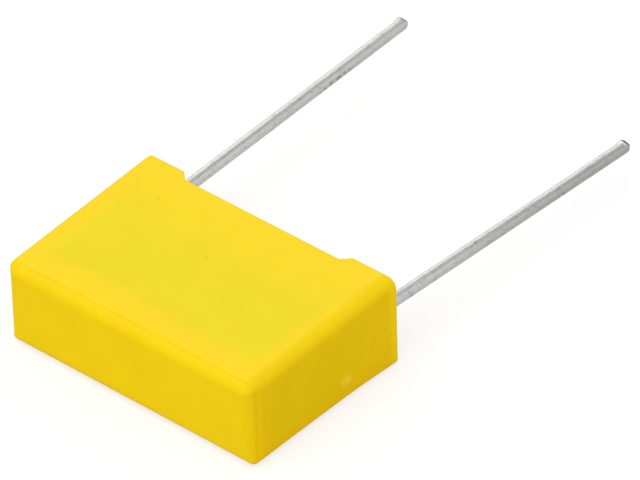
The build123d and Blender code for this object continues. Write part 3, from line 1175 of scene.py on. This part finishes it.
potting_resin, tree, resin = new_material("potting_resin")
place = box_place(tree)
clouds = noise(place, 0.5)
grains = noise(place, 26.0, rough=0.7)
on_wall = ramp(xyz(place)[1], *WALL_CLIMB)
colour = blend(ramp(clouds, *RESIN_CLOUDS), RESIN_HONEY, RESIN_PALE)
colour = blend(on_wall, colour, RESIN_THIN)
colour = blend(ramp(grains, *RESIN_GRAINS, 0.0, GRAIN_SHARE), colour, RESIN_GRAIN)
rough = sloped(on_wall, WALL_ROUGHNESS, ramp(clouds, *MIDDLE, *RESIN_ROUGHNESS))
waves = sloped(grains, GRAIN_HEIGHT, clouds)
plug(resin, {"Base Color": colour, "Specular IOR Level": 0.5})
plug(resin, {"Roughness": rough, "Normal": relief(waves, strength=0.5, depth=0.06)})


def dress(node, material):
    """Give a CAD node's object this material in every slot."""
    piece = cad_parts[node]
    if not piece.material_slots:
        piece.data.materials.append(material)
    for slot in piece.material_slots:
        slot.material = material
    print(node, "wears", material.name)


dress("potting_resin", potting_resin)

# %% [markdown]
# ### Bubbles
#
# Air that rises while the resin cures leaves small domes on its surface.  There are
# a few of them, at random places and of random sizes, so Geometry Nodes scatter
# them: points on a rectangle as large as the opening, without those too near a
# wire, and a flattened ball on each.

# %% Bubbles in the resin
BUBBLE_DETAIL = 3
BUBBLE_DENSITY = 0.35 / MM**2
BUBBLE_FLATNESS = 0.45
BUBBLE_INPUTS = {
    "Float": ["Length", "Width", "Height", "Wire Place", "Clear Of Wire", "Smallest", "Largest", "Spacing"],
    "Int": ["Seed"],
}

bubble_tree, bubble_in, bubble_names = new_tree("resin_bubbles", BUBBLE_INPUTS)
size = {"Size X": bubble_in["Length"], "Size Y": bubble_in["Width"], "Vertices X": 2, "Vertices Y": 2}
opening = begin(bubble_tree, "MeshGrid", size)
rules = {"Distance Min": bubble_in["Spacing"], "Density Max": BUBBLE_DENSITY, "Seed": bubble_in["Seed"]}
strewn = then(opening, "DistributePointsOnFaces", rules, distribute_method="POISSON")

from_middle = vector("ABSOLUTE", begin(bubble_tree, "InputPosition"))
from_wire = vector("DISTANCE", from_middle, combine(bubble_in["Wire Place"], 0.0, 0.0))
too_near = calc("LESS_THAN", from_wire, bubble_in["Clear Of Wire"])
clear = then(strewn, "DeleteGeometry", {"Selection": too_near}, domain="POINT")

limits = {2: bubble_in["Smallest"], 3: bubble_in["Largest"], "Seed": bubble_in["Seed"]}
wide = add(bubble_tree, "FunctionNodeRandomValue", limits, data_type="FLOAT").outputs[1]
flattened = combine(wide, wide, times(wide, BUBBLE_FLATNESS))
ball = begin(bubble_tree, "MeshIcoSphere", {"Radius": 1.0, "Subdivisions": BUBBLE_DETAIL + 1})
domes = then(clear, "InstanceOnPoints", {"Instance": ball, "Scale": flattened})
lifted = combine(0.0, bubble_in["Height"], 0.0)
upright = then(domes, "Transform", {"Translation": lifted, "Rotation": (-math.pi / 2, 0, 0)})
lain = then(upright, "Transform", {"Translation": laid.translation * MM, "Rotation": (DRAFT, 0, 0)})
finish_tree(then(lain, "SetShadeSmooth"), potting_resin)
print("bubble nodes:", len(bubble_tree.nodes))

# %% Scatter the bubbles
BUBBLE_MARGIN = 1.2

values = {
    "Length": (CASE_LENGTH - 2 * END_WALL - BUBBLE_MARGIN) * MM,
    "Width": (CASE_THICKNESS - 2 * BROAD_WALL - BUBBLE_MARGIN) * MM,
    "Height": RESIN_LEVEL * MM,
    "Wire Place": LEAD_PITCH / 2 * MM,
    "Clear Of Wire": 1.0 * MM,
    "Smallest": 0.05 * MM,
    "Largest": 0.16 * MM,
    "Spacing": 0.9 * MM,
    "Seed": 3,
}
bubbles = grow("resin_bubbles", bubble_tree, bubble_names, values)
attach(bubbles, "root")
print("bubbles:", len(bubbles.data.polygons) // (20 * 4**BUBBLE_DETAIL))

# %% [markdown]
# ## What the resin hides
#
# Inside the box are the winding and the sprayed metal on its ends.  Nobody sees
# them in a whole part, but someone may cut one open, so they get real finishes too.
# The film is wound in layers of a few micrometres, so its flat sides shine in fine
# lines along the winding.  The sprayed metal is a crust of frozen zinc drops.

# %% Film
FILM_SILVER = linear(206, 208, 212)
FILM_LINE = linear(172, 174, 180)
LAYER_SCALE = (0.3, 18.0, 18.0)
LAYER_EDGE = (0.4, 0.6)
FILM_ROUGHNESS = (0.22, 0.42)

metallised_film, tree, film = new_material("metallised_film")
place = box_place(tree)
layers = noise(stretched(place, LAYER_SCALE), 1.0, detail=4.0, rough=0.6)
rough = ramp(noise(place, 0.7), *MIDDLE, *FILM_ROUGHNESS)
plug(film, {"Base Color": blend(ramp(layers, *LAYER_EDGE), FILM_LINE, FILM_SILVER), "Metallic": 0.9})
plug(film, {"Roughness": rough, "Normal": relief(layers, strength=0.3, depth=0.01)})
dress("film_winding", metallised_film)

# %% Sprayed metal
ZINC_LIGHT = linear(186, 188, 190)
ZINC_DARK = linear(128, 130, 132)
DROP_SCALE = 9.0
DROP_EDGE = (0.15, 0.6)
DROP_DEPTH = 0.6
ZINC_ROUGHNESS = (0.5, 0.75)

sprayed_zinc, tree, zinc = new_material("sprayed_zinc")
place = box_place(tree)
drops = add(tree, "ShaderNodeTexVoronoi", {"Vector": place, "Scale": DROP_SCALE}).outputs["Distance"]
crust = noise(place, 5.0, detail=4.0, rough=0.65)
heaps = sloped(drops, -DROP_DEPTH, crust)
plug(zinc, {"Base Color": blend(ramp(drops, *DROP_EDGE), ZINC_LIGHT, ZINC_DARK), "Metallic": 0.85})
rough = ramp(crust, *MIDDLE, *ZINC_ROUGHNESS)
plug(zinc, {"Roughness": rough, "Normal": relief(heaps, strength=0.8, depth=0.06)})
dress("end_spray_left", sprayed_zinc)
dress("end_spray_right", sprayed_zinc)
